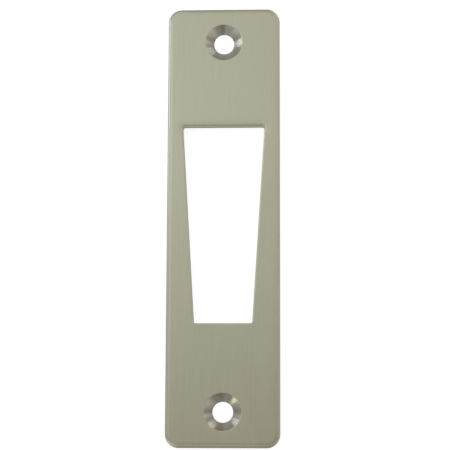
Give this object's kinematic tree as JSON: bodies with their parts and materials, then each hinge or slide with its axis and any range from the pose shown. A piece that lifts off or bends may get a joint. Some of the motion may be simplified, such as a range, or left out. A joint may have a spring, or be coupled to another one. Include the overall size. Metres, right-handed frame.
{
  "type": "door strike plate",
  "caption": "Flat rounded strike plate with a tapered bolt opening and countersunk screw holes, screwed to a door frame to take a lock's bolt.",
  "frame": {"origin": "middle of the back face, which lies on the surface below", "axes": "+Y along the length towards the opening's wide end, +X across the width, +Z out of the front face"},
  "size_m": [0.025, 0.098, 0.002],
  "materials": {
    "satin_stainless": "satin"
  },
  "bodies": {
    "root": {"strike_plate": "satin_stainless"}
  },
  "joints": []
}
